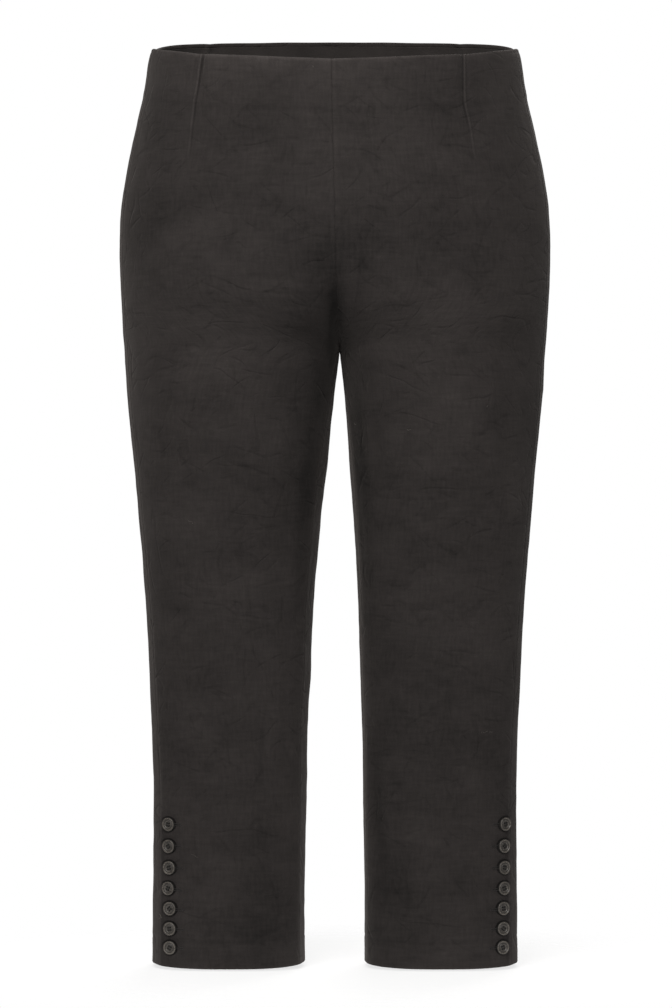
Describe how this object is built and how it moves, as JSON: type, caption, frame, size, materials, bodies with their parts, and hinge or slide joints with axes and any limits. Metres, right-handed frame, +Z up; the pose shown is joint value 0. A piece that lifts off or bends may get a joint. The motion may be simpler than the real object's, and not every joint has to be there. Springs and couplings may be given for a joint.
{
  "type": "straight-leg cropped trousers",
  "caption": "Dark straight-leg cropped trousers, flat front with a faced waist edge and a buttoned vent at each outer hem, in their hollow worn shape.",
  "frame": {"origin": "centre of the waist opening, level with its two side corners", "axes": "+Z up, -Y towards the front, +X towards the wearer's left"},
  "size_m": [0.451, 0.3118, 0.9816],
  "materials": {
    "cloth": "matt dark brown-grey cloth with a soft brushed nap",
    "facing": "inside of the same cloth, a little smoother and darker",
    "button": "brown-grey marbled resin in the look of horn, satin"
  },
  "bodies": {
    "root": {"front_left": "cloth", "front_right": "cloth", "back_left": "cloth", "back_right": "cloth", "facing_front": "facing", "facing_back": "facing", "underlap_left": "cloth", "underlap_right": "cloth", "button_left_1": "button", "button_left_2": "button", "button_left_3": "button", "button_left_4": "button", "button_left_5": "button", "button_left_6": "button", "button_left_7": "button", "button_right_1": "button", "button_right_2": "button", "button_right_3": "button", "button_right_4": "button", "button_right_5": "button", "button_right_6": "button", "button_right_7": "button"}
  },
  "joints": []
}
